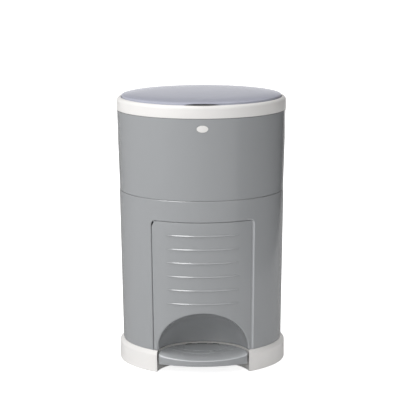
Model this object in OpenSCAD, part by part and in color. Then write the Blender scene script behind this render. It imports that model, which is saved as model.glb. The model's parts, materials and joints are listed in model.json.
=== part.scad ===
// Pedal bin for nappies: a foot pedal lifts the lid and opens two trap flaps,
// the top unit tilts back to load a film refill, and a front door empties the bag.
// Millimetres. The origin is at the centre of the floor, the front faces -Y.

/* [Body] */
// Radius of the lower body where it meets the base
foot_r = 153.8; // [150:0.1:156]
// Radius of the lower body at the seam
seam_r = 158.7; // [157:0.1:160]
// Radius of the upper body under the rim
neck_r = 162.5; // [160:0.1:163]
// Height of the seam between the lower body and the top unit
seam_z = 333; // [330:0.5:345]
// Wall thickness of the moulded shells
wall = 2.5; // [2:0.1:3]

/* [Base] */
// Height of the base up to its deck
base_h = 41; // [39:0.5:46]
// Widest radius of the base skirt
skirt_r = 160.5; // [158:0.5:164]
// Thickness of the deck
deck_t = 2.5; // [2:0.1:3]
// Height of the bevel around the top of the skirt
bevel_h = 7; // [4:0.5:9]
// Gap between the skirt and the floor
floor_gap = 1; // [0.5:0.1:2]
// Diameter of each rubber foot
pad_d = 18; // [12:1:22]
// Radius at which the rubber feet sit
pad_ring_r = 140; // [134:1:146]

/* [Foot recess] */
// Radius of the recess in plan
recess_r = 89; // [86:0.5:91]
// Distance of the centre of the recess in front of the axis
recess_y = 149; // [146:0.5:152]
// Height of the arch above the base
arch_h = 77; // [60:1:90]
// Half width of the lever slot in the recess wall
slot_x = 35; // [33:0.5:40]

/* [Door] */
// Angle from the front to each side edge of the door
door_a = 37.5; // [36.5:0.5:39]
// Height of the top edge of the door
door_top = 292; // [285:0.5:296]
// Gap round the door
door_gap = 1.4; // [1.2:0.1:1.6]
// Gap over the top edge of the door
door_top_gap = 0.7; // [0.6:0.1:1.4]
// Depth of the door surface behind the body surface
door_sink = 0.8; // [0.5:0.1:1.2]
// Radius of the two top corners
corner_r = 8.5; // [7:0.5:10]
// Chamfer round the opening in the body
chamfer = 1.1; // [0.8:0.1:1.8]
// Height of the lowest rib
rib_z = 136.3; // [132:0.5:140]
// Pitch of the ribs
rib_pitch = 26.1; // [20:0.5:28]
// Number of ribs
rib_n = 6; // [4:1:6]
// Half length of a rib, measured straight across
rib_x = 72.5; // [60:0.5:78]
// Height of a rib at its middle
rib_h = 3.4; // [2:0.1:5]
// How far a rib stands proud
rib_t = 1.3; // [0.8:0.1:1.8]

/* [Pedal] */
// Distance of the pedal axle in front of the axis
axle_y = 18.5; // [16:0.5:22]
// Height of the pedal axle
axle_z = 22; // [21:0.5:24]
// Diameter of the pedal axle
axle_d = 8; // [6:0.5:9]
// Gap between the tread and the recess wall
tread_gap = 2.6; // [2.2:0.1:3]
// Height of the front edge of the tread at its middle
tread_z = 28; // [27:0.5:30]
// Slope of the tread up to the rear, in degrees
tread_slope = 4.6; // [2:0.1:5]
// Radius of the dish across the tread
dish_r = 800; // [700:10:1200]

/* [Rods] */
// Distance of both push rods behind the axis
rod_y = 137; // [135:0.5:138]
// Diameter of the push rods
rod_d = 6; // [5:0.5:7]
// Running clearance of rods, shafts and pins, on the radius
fit = 0.05; // [0.03:0.01:0.1]
// Length of the return spring at rest
spring_len = 48; // [44:1:60]
// Mean radius of the return spring
spring_r = 6.2; // [5.5:0.1:7]
// Wire diameter of the return spring
wire_d = 1.4; // [1:0.1:1.6]
// Turns of the return spring
spring_turns = 8; // [6:1:9]

/* [Rim and lid] */
// Outer radius of the rim
rim_r = 163; // [162.6:0.1:166]
// Height of the lower edge of the rim
rim_z = 487; // [484:0.5:490]
// Height of the top of the rim
rim_top = 512; // [509:0.5:515]
// Radius of the rounded shoulder of the rim
shoulder_r = 7; // [4:0.5:7.5]
// Radius of the lid
lid_r = 153.6; // [150:0.1:153.8]
// Gap between the lid and the rim
lid_gap = 1; // [0.8:0.1:1.6]
// Rise of the lid from its edge to its crown
lid_rise = 6.8; // [4:0.1:12]
// Thickness of the lid
lid_t = 2; // [1.8:0.1:2.4]
// Half width of the finger scoop in the rim
scoop_x = 35; // [20:1:45]
// Depth of the finger scoop into the rim
scoop_t = 5; // [3:0.1:6]
// Distance of the lid hinge behind the axis
hinge_y = 150; // [149:0.2:151]
// Height of the lid hinge
hinge_z = 507.5; // [507.3:0.1:508]

/* [Traps and funnel] */
// Inner radius of the throat
throat_r = 60; // [52:1:62]
// Height of the lower end of the throat
throat_z = 352; // [351:0.2:353]
// Radius of the mouth of the funnel
mouth_r = 118; // [110:1:119]
// Height of the funnel deck
funnel_z = 494; // [492.5:0.1:494.4]
// Distance of each flap shaft from the middle
flap_x = 66; // [65:0.5:68]
// Thickness of each flap
flap_t = 3; // [2:0.1:3.4]
// Length of the cranks of the lid and flaps
crank_r = 14.49; // [14:0.01:15]
// Angle of the cranks below level at rest
crank_a = 37.5; // [35:0.5:40]
// Diameter of the crank pins
crank_pin_d = 3; // [2.5:0.1:3.5]

/* [Refill and tray] */
// Inner radius of the refill cassette
refill_ri = 96; // [96:0.5:104]
// Outer radius of the refill cassette
refill_ro = 128; // [120:1:129]
// Height of the refill cassette
refill_h = 32; // [26:1:34]

/* [Badge] */
// Width of the oval badge
badge_w = 21.5; // [14:0.5:30]
// Height of the oval badge
badge_h = 13; // [9:0.5:18]
// Height of the centre of the badge
badge_z = 469; // [455:1:474]

/* [Hidden] */
$fn = 96;

body_grey = [0.66, 0.67, 0.69];
lid_grey = [0.76, 0.76, 0.81];
shell_white = [0.93, 0.92, 0.91];
inner_grey = [0.55, 0.56, 0.58];
steel = [0.72, 0.73, 0.75];
rubber_grey = [0.2, 0.2, 0.21];

seam_gap = 0.4;
low_top = seam_z - seam_gap / 2;
up_bot = seam_z + seam_gap / 2;
up_r = seam_r - 0.8;
deck_z = base_h - deck_t;
slope = (seam_r - foot_r) / (seam_z - base_h);
tray_z = door_top + 2.5;
tray_t = 2.5;
collar_r = 92;
tray_r = 154.9;
lip_h = 5;
big = 400;

// Outer radius of the lower body and of the upper body at a height
function low_r(z) = foot_r + slope * (z - base_h);
function top_r(z) = up_r + (neck_r - up_r) * (z - up_bot) / (rim_z - up_bot);

// Point at a radius, an azimuth from the front and a height
function at(r, a, z) = [r * sin(a), -r * cos(a), z];

// A ring with a square section
module ring(ro, ri, z0, z1) {
    translate([0, 0, z0])
        difference() {
            cylinder(r = ro, h = z1 - z0);
            translate([0, 0, -1])
                cylinder(r = ri, h = z1 - z0 + 2);
        }
}

// A sector of revolution of the 2-D children, from azimuth a0 to a1 counted from the front
module sector(a0, a1) {
    rotate([0, 0, a0 - 90])
        rotate_extrude(angle = a1 - a0)
            children();
}

// A shaft along X and a shaft along Y, centred
module shaft_x(d, l) {
    rotate([0, 90, 0])
        cylinder(d = d, h = l, center = true);
}

module shaft_y(d, l) {
    rotate([90, 0, 0])
        cylinder(d = d, h = l, center = true);
}

// A side profile in Y and Z, extruded across X
module side(x0, x1) {
    translate([x0, 0, 0])
        rotate([90, 0, 90])
            linear_extrude(height = x1 - x0)
                children();
}

// ---------------------------------------------------------------- base

recess_wall = 2.5;
lug_x = 35;
lug_t = 5;
rod_hole_d = rod_d + 2 * fit;
foot_as = [45, 135, 225, 315];
rib_as = [70, 90, 110, 150, 210, 250, 270, 290];

// Plan of the foot recess, grown by g
module recess_plan(g) {
    translate([0, -recess_y])
        circle(r = recess_r + g);
}

module base_skirt() {
    color(shell_white)
    difference() {
        union() {
            rotate_extrude() {
                polygon([[skirt_r - wall, floor_gap], [skirt_r, floor_gap], [skirt_r, base_h - bevel_h],
                    [skirt_r - 1.2, base_h - bevel_h + 2], [foot_r + 1.6, base_h - 0.6],
                    [foot_r + 0.6, base_h], [0, base_h], [0, deck_z], [foot_r - 1, deck_z],
                    [skirt_r - wall, base_h - bevel_h - 1]]);
            }
            intersection() {
                translate([0, 0, floor_gap])
                    linear_extrude(height = base_h - floor_gap - 0.1)
                        recess_plan(recess_wall);
                cylinder(r = skirt_r - 0.5, h = base_h - bevel_h);
            }
            intersection() {
                translate([0, 0, deck_z - 5])
                    linear_extrude(height = 5.1)
                        recess_plan(recess_wall);
                cylinder(r = foot_r, h = base_h);
            }
            for (a = foot_as)
                translate(at(pad_ring_r, a, 3))
                    cylinder(d = pad_d + 4, h = deck_z - 2.9);
            for (a = rib_as)
                rotate([0, 0, a])
                    translate([-1, -skirt_r + 1, 12])
                        cube([2, 66, base_h - bevel_h - 12]);
            for (s = [-1, 1])
                translate([s * lug_x - lug_t / 2, -axle_y - 9, axle_z - 8])
                    cube([lug_t, 18, deck_z - axle_z + 8.1]);
            translate([0, rod_y, deck_z - 0.6])
                cylinder(d = rod_d + 8, h = 1);
            translate(at(door_axis_r(base_h), -door_axis_a, deck_z - 5))
                cylinder(d = 9, h = 5.1);
        }
        translate([0, 0, -1])
            linear_extrude(height = base_h + 2)
                recess_plan(0);
        translate([-slot_x, -recess_y + recess_r - 30, 7])
            cube([2 * slot_x, 60, deck_z - 7]);
        translate([0, -axle_y, axle_z])
            shaft_x(axle_d + 2 * fit, 3 * lug_x);
        translate([0, rod_y, 20])
            cylinder(d = rod_hole_d, h = 40);
        for (a = foot_as)
            translate(at(pad_ring_r, a, 0))
                cylinder(d = pad_d, h = 5);
        for (a = screw_as)
            translate(at(screw_ring_r, a, deck_z - 1))
                cylinder(d = screw_d, h = 10);
        along_door_axis()
            translate([0, 0, -40])
                cylinder(d = door_pin_d + 2 * fit, h = 60);
    }
}

module rubber_feet() {
    color(rubber_grey)
        for (a = foot_as)
            translate(at(pad_ring_r, a, 0))
                rotate_extrude()
                    polygon([[0, 0], [pad_d / 2 - 1.5, 0], [pad_d / 2 - 0.2, 1.3], [pad_d / 2, 5], [0, 5]]);
}

// ---------------------------------------------------------------- lower body

screw_as = [62, 118, 242, 298];
screw_ring_r = 144;
screw_d = 4;
boss_d = 10;
boss_h = 22;
knuckle_d = 9;
tilt_y = 158.5;
tilt_pin_d = 4;
knuckle_x = 14;
knuckle_l = 12;
catch_z = 175;
lug_w = 14;
lug_high = 9;

// The door opening: a radial block with two round top corners, grown by g.
// The corner on the hinge side can be rounder by the amount left.
module door_block(g, left = 0) {
    r = seam_r + 6;
    a = door_a + g / seam_r * 180 / PI;
    top = door_top + (g > 0 ? door_top_gap : 0);
    rr = corner_r + g;
    rl = rr + left;
    al = a - rl / seam_r * 180 / PI;
    ar = a - rr / seam_r * 180 / PI;
    low = base_h - 5;
    sector(-a, a)
        translate([120, low])
            square([r - 120, top - rl - low]);
    sector(-al, a)
        translate([120, low])
            square([r - 120, top - rr - low]);
    sector(-al, ar)
        translate([120, low])
            square([r - 120, top - low]);
    rotate([0, 0, -al])
        translate([0, -120, top - rl])
            rotate([90, 0, 0])
                cylinder(r = rl, h = r - 120);
    rotate([0, 0, ar])
        translate([0, -120, top - rr])
            rotate([90, 0, 0])
                cylinder(r = rr, h = r - 120);
}

// The chamfer round the opening
module door_chamfer() {
    g = door_gap;
    ga = g / seam_r * 180 / PI;
    ca = (corner_r + g) / seam_r * 180 / PI;
    a = door_a + ga;
    top = door_top + door_top_gap;
    c = chamfer;
    zc = top - corner_r - g;
    sector(-a + ca, a - ca)
        polygon([[low_r(top) - c, top - 0.01], [low_r(top) + 2, top - 0.01], [low_r(top) + 2, top + c + 2]]);
    for (s = [-1, 1]) {
        rotate([0, 0, s * (a - ca)])
            translate([0, -(low_r(zc) - c), zc])
                rotate([90, 0, 0])
                    cylinder(r1 = corner_r + g, r2 = corner_r + g + c + 2, h = c + 2);
        rotate([0, 0, s * a])
            translate([0, -low_r(base_h), base_h])
                rotate([atan(slope), 0, 0])
                    linear_extrude(height = zc - base_h)
                        polygon([[-s, c], [0, c], [s * (c + 2), -2], [-s, -2]]);
    }
}

module lower_body() {
    color(body_grey)
    difference() {
        union() {
            rotate_extrude()
                polygon([[low_r(base_h) - wall, base_h], [low_r(base_h), base_h],
                    [low_r(low_top - 1), low_top - 1], [low_r(low_top - 1) - 0.8, low_top],
                    [low_r(low_top) - wall, low_top], [low_r(tray_z) - wall, tray_z],
                    [tray_r - 5, tray_z], [tray_r - 5, tray_z - 2], [low_r(tray_z - 8) - wall, tray_z - 8]]);
            for (a = screw_as)
                translate(at(screw_ring_r, a, base_h))
                    cylinder(d = boss_d, h = boss_h);
            for (a = screw_as)
                rotate([0, 0, a])
                    translate([-1, -foot_r + 0.6, base_h])
                        cube([2, foot_r - screw_ring_r - boss_d / 2 + 1, boss_h - 2]);
            for (s = [-1, 1])
                translate([s * (knuckle_x + knuckle_l / 2 + 0.3), tilt_y, seam_z])
                    shaft_x(knuckle_d, knuckle_l);
            for (s = [-1, 1])
                translate([s * (knuckle_x + knuckle_l / 2 + 0.3) - knuckle_l / 2, tilt_y - 4, seam_z - 16])
                    side(0, knuckle_l)
                        polygon([[0, 0], [1, 0], [8.5, 13], [8.5, 16], [0, 16]]);
            door_lug(0);
            rotate([0, 0, door_a + 2.2])
                translate([-3, -low_r(catch_z) + 1, catch_z - 12])
                    cube([6, 12, 24]);
        }
        difference() {
            door_block(door_gap);
            door_lug(0);
        }
        door_chamfer();
        front_ledge_relief();
        for (a = screw_as)
            translate(at(screw_ring_r, a, base_h - 1))
                cylinder(d = screw_d, h = boss_h - 3);
        translate([0, tilt_y, seam_z])
            shaft_x(tilt_pin_d, 4 * knuckle_x + 4 * knuckle_l);
        translate([-knuckle_x, tilt_y - knuckle_d / 2 - 0.8, seam_z - knuckle_d / 2 - 0.8])
            cube([2 * knuckle_x, knuckle_d + 4, knuckle_d + 1.6]);
        along_door_axis()
            cylinder(d = door_pin_d + 2 * fit, h = door_top - base_h + door_gap + 7);
    }
}

// Lug over the door that holds its upper pin, grown by g
module door_lug(g) {
    rotate([0, 0, -door_axis_a])
        translate([-lug_w / 2 - g, -low_r(door_top) + 1, door_top + door_top_gap - g])
            cube([lug_w + 2 * g, 10 + g, lug_high + 2 * g]);
}

// Clears the tray ledge behind the top edge of the door
module front_ledge_relief() {
    sector(-door_a - 3, door_a + 3)
        polygon([[tray_r - 8, tray_z - 10], [low_r(tray_z - 10) - wall + 0.3, tray_z - 10],
            [low_r(tray_z + 1) - wall + 0.3, tray_z + 1], [tray_r - 8, tray_z + 1]]);
}

module body_screws() {
    color(steel)
        for (a = screw_as)
            translate(at(screw_ring_r, a, 0)) {
                translate([0, 0, deck_z - 3])
                    cylinder(d = 7.5, h = 3);
                translate([0, 0, deck_z - 0.1])
                    cylinder(d = screw_d, h = 18);
            }
}

module tilt_hinge_pin() {
    color(steel)
        translate([0, tilt_y, seam_z])
            shaft_x(tilt_pin_d, 2 * (knuckle_x + knuckle_l));
}

// ---------------------------------------------------------------- tray, refill, channel, cutter

module cassette_tray() {
    color(shell_white)
    difference() {
        union() {
            rotate_extrude()
                polygon([[collar_r, tray_z], [tray_r - 1.5, tray_z], [tray_r, tray_z + 1.5],
                    [tray_r, tray_z + tray_t], [collar_r + wall, tray_z + tray_t],
                    [collar_r + wall, seam_z - 4], [collar_r, seam_z - 3]]);
            for (a = [30 : 30 : 150])
                for (s = [-1, 1])
                    rotate([0, 0, s * a])
                        translate([-1, -tray_r + wall + 0.3, tray_z + 1])
                            cube([2, tray_r - refill_ro - wall - 1.3, 20]);
            translate([0, rod_y, tray_z])
                cylinder(d = rod_d + 8, h = 12);
        }
        translate([0, rod_y, tray_z - 1])
            cylinder(d = rod_hole_d, h = 20);
        translate([-knuckle_x - 0.5, tilt_y - knuckle_d / 2 - 1.4, seam_z - knuckle_d / 2 - 1])
            cube([2 * knuckle_x + 1, 20, 30]);
        door_lug(1);
    }
}

// The upright ring on the tray that centres the top unit
module locating_ring() {
    color(shell_white)
    difference() {
        rotate_extrude()
            polygon([[tray_r - wall, tray_z + tray_t], [tray_r, tray_z + tray_t],
                [tray_r, seam_z + lip_h - 1], [tray_r - 1, seam_z + lip_h], [tray_r - wall, seam_z + lip_h]]);
        translate([-knuckle_x - 0.5, tilt_y - knuckle_d / 2 - 1.4, seam_z - knuckle_d / 2 - 1])
            cube([2 * knuckle_x + 1, 20, 30]);
        door_lug(1);
    }
}

module refill_cassette() {
    z0 = tray_z + tray_t;
    color("lightsteelblue")
        rotate_extrude()
            polygon([[refill_ri, z0], [refill_ro, z0], [refill_ro, z0 + refill_h - 3],
                [refill_ro - 3, z0 + refill_h], [refill_ri + 8, z0 + refill_h],
                [refill_ri + 8, z0 + refill_h - 2], [refill_ro - 5, z0 + refill_h - 2],
                [refill_ro - 2, z0 + refill_h - 5], [refill_ro - 2, z0 + 2],
                [refill_ri + 2, z0 + 2], [refill_ri + 2, z0 + refill_h - 6], [refill_ri, z0 + refill_h - 6]]);
}

channel_x = 14;
channel_y0 = 122;
spring_top = tray_z - 3;

module rod_channel() {
    color(inner_grey)
    difference() {
        intersection() {
            translate([-channel_x, channel_y0, base_h])
                cube([2 * channel_x, 40, tray_z - base_h]);
            rotate_extrude()
                polygon([[0, base_h], [low_r(base_h) - wall, base_h],
                    [low_r(tray_z - 8) - wall - 0.01, tray_z - 8], [tray_r - 5, tray_z - 2],
                    [tray_r - 5, tray_z], [0, tray_z]]);
        }
        translate([-channel_x + 2, channel_y0 + 2, base_h - 1])
            cube([2 * channel_x - 4, 60, spring_top - base_h + 1]);
        translate([0, rod_y, spring_top - 5])
            cylinder(d = rod_hole_d, h = 20);
    }
}

cutter_a = 52;
cutter_z = 180;
cutter_r = low_r(cutter_z) - wall;

module cutter_housing() {
    color(shell_white)
        rotate([0, 0, cutter_a])
            difference() {
                intersection() {
                    translate([0, -cutter_r + 10, cutter_z - 22])
                        side(-9, 9)
                            polygon([[-14, 0], [-6, 0], [6, 8], [6, 34], [2, 44], [-14, 44]]);
                    rotate_extrude()
                        polygon([[0, base_h], [low_r(base_h) - wall, base_h],
                            [low_r(tray_z) - wall, tray_z], [0, tray_z]]);
                }
                translate([-1.5, -cutter_r + 4, cutter_z - 10])
                    cube([3, 30, 20]);
            }
}

module cutter_blade() {
    color(steel)
        rotate([0, 0, cutter_a])
            translate([0, -cutter_r + 4, cutter_z])
                side(-0.4, 0.4)
                    polygon([[0, -10], [9, -10], [3, 10], [0, 10]]);
}

// ---------------------------------------------------------------- door

door_pin_d = 4;
door_t = 2.6;
door_axis_a = door_a - 2.1;
door_axis_in = 4.2;
barrel_r = 3.6;
door_bot = base_h + 1;
hinge_corner = 5.6;

function door_axis_r(z) = low_r(z) - door_sink - door_axis_in;

// Places its children on the door axis, with Z along it and zero at the base deck
module along_door_axis() {
    rotate([0, 0, -door_axis_a])
        translate([0, -door_axis_r(base_h), base_h])
            rotate([atan(slope), 0, 0])
                children();
}

// A conical skin behind the body surface, between two depths
module cone_skin(d0, d1, z0, z1) {
    rotate_extrude()
        polygon([[low_r(z0) - d1, z0], [low_r(z0) - d0, z0], [low_r(z1) - d0, z1], [low_r(z1) - d1, z1]]);
}

// The foot scoop: half of an upright ellipsoid, grown by g
module scoop_form(g) {
    translate([0, -recess_y, 0])
        rotate_extrude()
            polygon(concat([[0, base_h - 5], [recess_r + g, base_h - 5]],
                [for (i = [0 : 20]) let (t = i * 4.5)
                    [(recess_r + g) * cos(t), base_h + (arch_h + g) * sin(t)]]));
}

// One lens-shaped rib, wrapped on the door
module door_rib(z) {
    sag = rib_h / 2;
    lens_r = (rib_x * rib_x + sag * sag) / (2 * sag);
    intersection() {
        cone_skin(door_sink - rib_t, door_sink + 0.5, z - rib_h, z + rib_h);
        translate([0, -100, z])
            rotate([90, 0, 0])
                linear_extrude(height = 80)
                    intersection() {
                        translate([0, lens_r - sag])
                            circle(r = lens_r, $fn = 256);
                        translate([0, sag - lens_r])
                            circle(r = lens_r, $fn = 256);
                    }
    }
}

module front_door() {
    color(body_grey)
    difference() {
        union() {
            intersection() {
                cone_skin(door_sink, door_sink + door_t, door_bot, door_top);
                door_block(0, hinge_corner);
            }
            for (i = [0 : rib_n - 1])
                door_rib(rib_z + i * rib_pitch);
            intersection() {
                scoop_form(wall);
                cone_skin(door_sink, 120, door_bot, door_top);
                translate([-big / 2, -big / 2, door_bot])
                    cube([big, big / 2, arch_h + wall + 5]);
            }
            intersection() {
                along_door_axis() {
                    translate([0, 0, 1.5])
                        cylinder(r = barrel_r, h = 18);
                    translate([0, 0, door_top - base_h - 18])
                        cylinder(r = barrel_r, h = 17.5);
                }
                cone_skin(door_sink, 30, door_bot, door_top);
            }
            for (s = [-1, 1])
                intersection() {
                    rotate([0, 0, s * 25])
                        translate([-1, -seam_r, door_bot + arch_h + 25])
                            cube([2, 15, door_top - door_bot - arch_h - 33]);
                    cone_skin(door_sink + 0.5, 8, door_bot, door_top);
                }
        }
        intersection() {
            scoop_form(0);
            translate([-big / 2, -big / 2, 0])
                cube([big, big, 200]);
        }
        along_door_axis() {
            translate([0, 0, -5])
                cylinder(d = door_pin_d, h = 19);
            translate([0, 0, door_top - base_h - 14])
                cylinder(d = door_pin_d, h = 30);
        }
    }
}

module door_hinge_pins() {
    color(steel)
        along_door_axis() {
            translate([0, 0, -4])
                cylinder(d = door_pin_d, h = 18);
            translate([0, 0, door_top - base_h - 14])
                cylinder(d = door_pin_d, h = 20);
        }
}

module door_catch() {
    color(shell_white)
        intersection() {
            rotate([0, 0, door_a - 3.2])
                translate([-3, -low_r(catch_z) + door_sink + door_t - 0.4, catch_z - 10])
                    side(0, 6)
                        polygon([[0, 0], [9, 4], [9, 16], [0, 20]]);
            cone_skin(door_sink + door_t + 0.1, 30, base_h, door_top);
        }
}

// ---------------------------------------------------------------- pedal

tread_t = 3;
lever_x = 29;
arm_x = 9;
lever_t = 2;
plate_z = 24;
nose_r = 3;
nose_z = 14.7;
rod_foot_z = nose_z + nose_r + 0.3;
tread_front_r = skirt_r - 2.5;
tread_screw_p = [[-20, -100], [20, -100], [-20, -128], [20, -128]];

// Space under the dished top of the tread, lowered by d
module tread_under(d) {
    translate([0, -tread_front_r, tread_z - d])
        rotate([tread_slope, 0, 0])
            translate([0, 0, dish_r])
                rotate([90, 0, 0])
                    cylinder(r = dish_r, h = big, center = true, $fn = 256);
}

// Plan of the tread, shrunk by g
module tread_plan(g) {
    intersection() {
        circle(r = tread_front_r - g);
        translate([0, -recess_y])
            circle(r = recess_r - tread_gap - g);
    }
}

module pedal_tread() {
    bottom_r = 1500;
    color(body_grey)
    difference() {
        union() {
            difference() {
                translate([0, 0, 15])
                    linear_extrude(height = 30)
                        tread_plan(0);
                tread_under(0);
                difference() {
                    translate([0, 0, 10])
                        linear_extrude(height = 40)
                            tread_plan(2.6);
                    translate([0, 0, -tread_t])
                        difference() {
                            translate([-big / 2, -big / 2, 0])
                                cube([big, big, 60]);
                            difference() {
                                translate([-big, -big, -60])
                                    cube([2 * big, 2 * big, 130]);
                                tread_under(0);
                            }
                        }
                }
            }
            for (p = tread_screw_p)
                translate([p[0], p[1], plate_z])
                    cylinder(d = 9, h = 5.5 + (p[1] + 128) * tan(tread_slope));
            for (x = [-52, 52])
                translate([x - 1, -138, plate_z - 4])
                    rotate([tread_slope, 0, 0])
                        cube([2, 57, 10]);
            tread_ridges();
        }
        for (p = tread_screw_p)
            translate([p[0], p[1], plate_z - 5])
                cylinder(d = 3, h = 9);
        translate([-lever_x - 0.4, -139, 5])
            cube([2 * lever_x + 0.8, 100, plate_z - 5]);
        translate([0, 0, 15.5 - bottom_r + 2.4])
            rotate([90, 0, 0])
                cylinder(r = bottom_r, h = big, $fn = 256);
    }
}

// Low grip ridges that follow the front edge
module tread_ridges() {
    for (r = [142, 128, 114])
        intersection() {
            ring(r + 0.9, r - 0.9, tread_z - 3, 50);
            linear_extrude(height = 60)
                tread_plan(5);
            difference() {
                tread_under(3);
                tread_under(-0.9);
            }
        }
}

module pedal_lever() {
    y0 = -axle_y;
    yn = rod_y;
    hub_d = axle_d + 6;
    color(steel)
    difference() {
        union() {
            translate([-lever_x, -138, plate_z - lever_t])
                cube([2 * lever_x, 146 - axle_y, lever_t]);
            for (s = [-1, 1])
                side(s * (lever_x - 1) - 1, s * (lever_x - 1) + 1)
                    polygon([[-138, plate_z], [-138, 18], [-70, 15], [y0 - 6, 15],
                        [y0, axle_z - hub_d / 2], [y0 + 6, 16], [8 - axle_y, 20], [8 - axle_y, plate_z]]);
            for (s = [-1, 1])
                translate([s * (lever_x - 4), y0, axle_z])
                    shaft_x(hub_d, 8);
            for (s = [-1, 1])
                side(s * (arm_x - 1) - 1, s * (arm_x - 1) + 1)
                    polygon([[-60, plate_z - 1], [-60, 17], [y0, 14], [yn - 3, 11.7], [yn + 1, 12],
                        [yn + 2, 16], [yn - 6, 19], [0, plate_z - 1]]);
            side(-arm_x, arm_x)
                polygon([[-14, plate_z - 2.6], [-10, plate_z], [yn - 8, 19.5], [yn - 8, 17.5]]);
            translate([0, yn, nose_z])
                shaft_x(2 * nose_r, 2 * arm_x);
        }
        translate([0, y0, axle_z])
            shaft_x(axle_d, 3 * lever_x);
        for (p = tread_screw_p)
            translate([p[0], p[1], 10])
                cylinder(d = 3, h = 30);
    }
}

module pedal_axle() {
    color(steel)
        translate([0, -axle_y, axle_z])
            shaft_x(axle_d, 2 * (lug_x + lug_t / 2 + 2));
}

module tread_screws() {
    color(steel)
        for (p = tread_screw_p)
            translate([p[0], p[1], 0]) {
                translate([0, 0, plate_z - lever_t - 2.2])
                    cylinder(d = 6, h = 2.2);
                translate([0, 0, plate_z - lever_t - 0.1])
                    cylinder(d = 3, h = 6);
            }
}

// ---------------------------------------------------------------- lower rod

collar_h = 4;
spring_bot = spring_top - spring_len;

module lower_push_rod() {
    color(steel)
        translate([0, rod_y, 0]) {
            translate([0, 0, rod_foot_z])
                cylinder(d = 12, h = 2);
            translate([0, 0, rod_foot_z + 1])
                cylinder(d = rod_d, h = low_top - rod_foot_z - 1);
        }
}

module spring_collar() {
    color(inner_grey)
        translate([0, rod_y, spring_bot - collar_h])
            difference() {
                cylinder(r = spring_r + 2, h = collar_h);
                translate([0, 0, -1])
                    cylinder(d = rod_d, h = collar_h + 2);
            }
}

// One ring of the spring wire: a hexagon square to the helix
wire_sides = 6;
ring_n = 12;

function coil_z(i, n) = let (u = i / n, w = wire_d / 2)
    w + (spring_len - 2 * w) * u;

function coil_ring(i, n) = let (a = 360 * spring_turns * i / n)
    [for (k = [0 : wire_sides - 1]) let (b = 360 * k / wire_sides, e = spring_r + wire_d / 2 * cos(b))
        [e * cos(a), e * sin(a), coil_z(i, n) + wire_d / 2 * sin(b)]];

module return_spring() {
    n = ring_n * spring_turns;
    m = wire_sides;
    pts = [for (i = [0 : n]) each coil_ring(i, n)];
    faces = concat([[for (k = [0 : m - 1]) k]], [[for (k = [m - 1 : -1 : 0]) n * m + k]],
        [for (i = [0 : n - 1]) for (k = [0 : m - 1]) for (h = [0, 1])
            h == 0 ? [i * m + k, (i + 1) * m + k, (i + 1) * m + (k + 1) % m]
                : [i * m + k, (i + 1) * m + (k + 1) % m, i * m + (k + 1) % m]]);
    color(steel)
        translate([0, rod_y, spring_bot])
            polyhedron(pts, faces);
}

// ---------------------------------------------------------------- top unit

badge_t = 1.2;
badge_proud = 0.4;
rim_seat = 499;
pocket_a = 27;

module badge_plan(g) {
    polygon([for (i = [0 : 63]) let (t = i * 360 / 64)
        [(badge_w / 2 + g) * cos(t), (badge_h / 2 + g) * sin(t)]]);
}

// A skin on the surface of the upper body, from d0 to d1 outwards
module top_skin(d0, d1, z0, z1) {
    rotate_extrude()
        polygon([[top_r(z0) + d0, z0], [top_r(z0) + d1, z0], [top_r(z1) + d1, z1], [top_r(z1) + d0, z1]]);
}

module badge_prism(g) {
    translate([0, 0, badge_z])
        rotate([90, 0, 0])
            linear_extrude(height = big / 2)
                badge_plan(g);
}

module badge() {
    color(shell_white)
        intersection() {
            top_skin(badge_proud - badge_t, badge_proud, badge_z - badge_h, badge_z + badge_h);
            badge_prism(0);
        }
}

guide_z = 404;

module upper_body() {
    color(body_grey)
    difference() {
        union() {
            rotate_extrude()
                polygon([[up_r - wall, up_bot], [up_r - 0.6, up_bot], [up_r, up_bot + 0.8],
                    [neck_r, rim_z], [neck_r - 1, rim_z + 0.2], [neck_r - 1, rim_z + 4],
                    [neck_r - wall, rim_z + 4], [neck_r - wall, rim_z]]);
            intersection() {
                union() {
                    translate([-9, rod_y - 8, guide_z])
                        cube([18, 40, 12]);
                    translate([-1.5, rod_y + 4, guide_z - 14])
                        cube([3, 40, 15]);
                }
                top_skin(-60, -0.5, up_bot, rim_z);
            }
            for (a = [60, 120, 240, 300])
                intersection() {
                    rotate([0, 0, a])
                        translate([-1.2, -neck_r, up_bot + 20])
                            cube([2.4, 9, rim_z - up_bot - 22]);
                    top_skin(-9, -0.5, up_bot, rim_z);
                }
            translate([0, tilt_y, seam_z])
                shaft_x(knuckle_d, 2 * knuckle_x - 0.6);
            side(-knuckle_x + 0.3, knuckle_x - 0.3)
                polygon([[tilt_y - 3.4, seam_z + 0.2], [tilt_y + 4, seam_z + 1], [tilt_y + 4, seam_z + 4],
                    [tilt_y, seam_z + 20], [tilt_y - 3, seam_z + 20]]);
        }
        translate([0, rod_y, guide_z - 1])
            cylinder(d = rod_hole_d, h = 20);
        translate([0, tilt_y, seam_z])
            shaft_x(tilt_pin_d + 2 * fit, 4 * knuckle_x);
        for (s = [-1, 1])
            translate([s * (knuckle_x + knuckle_l / 2 + 0.3), tilt_y, seam_z])
                shaft_x(knuckle_d + 1, knuckle_l + 0.6);
        difference() {
            badge_prism(0.15);
            top_skin(-20, badge_proud - badge_t, badge_z - badge_h, badge_z + badge_h);
            translate([-50, -neck_r + 8, badge_z - 50])
                cube([100, 200, 100]);
        }
    }
}

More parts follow.
